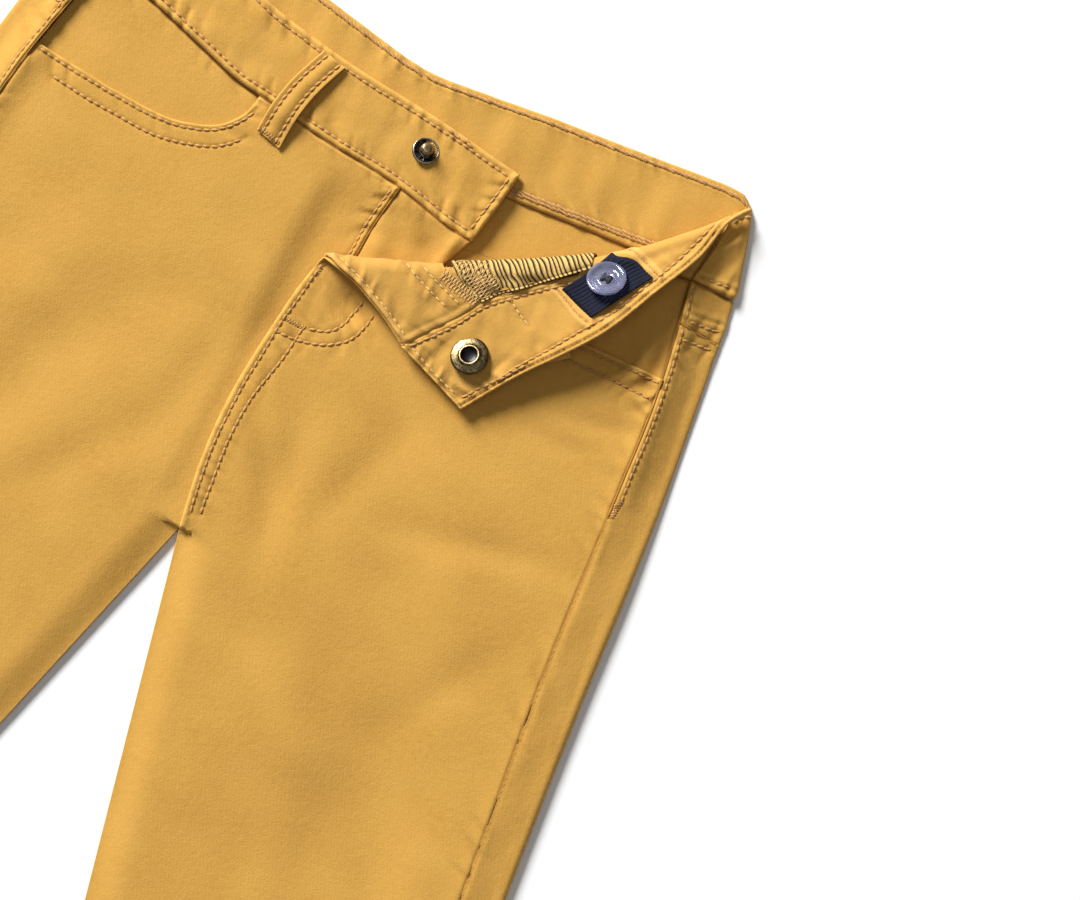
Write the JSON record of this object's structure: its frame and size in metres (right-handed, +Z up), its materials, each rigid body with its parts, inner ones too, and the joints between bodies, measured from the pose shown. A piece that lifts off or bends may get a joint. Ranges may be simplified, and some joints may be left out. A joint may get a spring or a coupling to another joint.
{
  "type": "child's twill trousers",
  "caption": "Small child's mustard cotton twill trousers laid flat, fly open, with the left front waist corner turned out to show a waist elastic, snap and striped pocket.",
  "frame": {"origin": "on the surface that the trousers lie on, under the middle of their box", "axes": "+Y from the hems to the waist, +X to the wearer's left, +Z up out of the fronts"},
  "size_m": [0.4278, 0.5602, 0.0183],
  "materials": {
    "twill": "brushed cotton twill, soft and matt",
    "striped_pocketing": "plain-woven cotton with thin dark stripes",
    "elastic": "ribbed knitted elastic tape",
    "brass": "antique, satin",
    "button": "clear bluish resin, glossy"
  },
  "bodies": {
    "root": {"back_left": "twill", "back_right": "twill", "yoke_left": "twill", "yoke_right": "twill", "waistband_back": "twill", "front_right": "twill", "pocket_facing_right": "twill", "waistband_right": "twill", "fly_shield": "twill", "front_left": "twill", "waistband_left": "twill", "fly_facing": "twill", "pocket_facing_left": "twill", "pocket_bag_left": "striped_pocketing", "belt_loop_right": "twill", "belt_loop_left": "twill", "snap_socket": "brass", "snap_stud": "brass", "waist_elastic": "elastic", "waist_button": "button"}
  },
  "joints": []
}
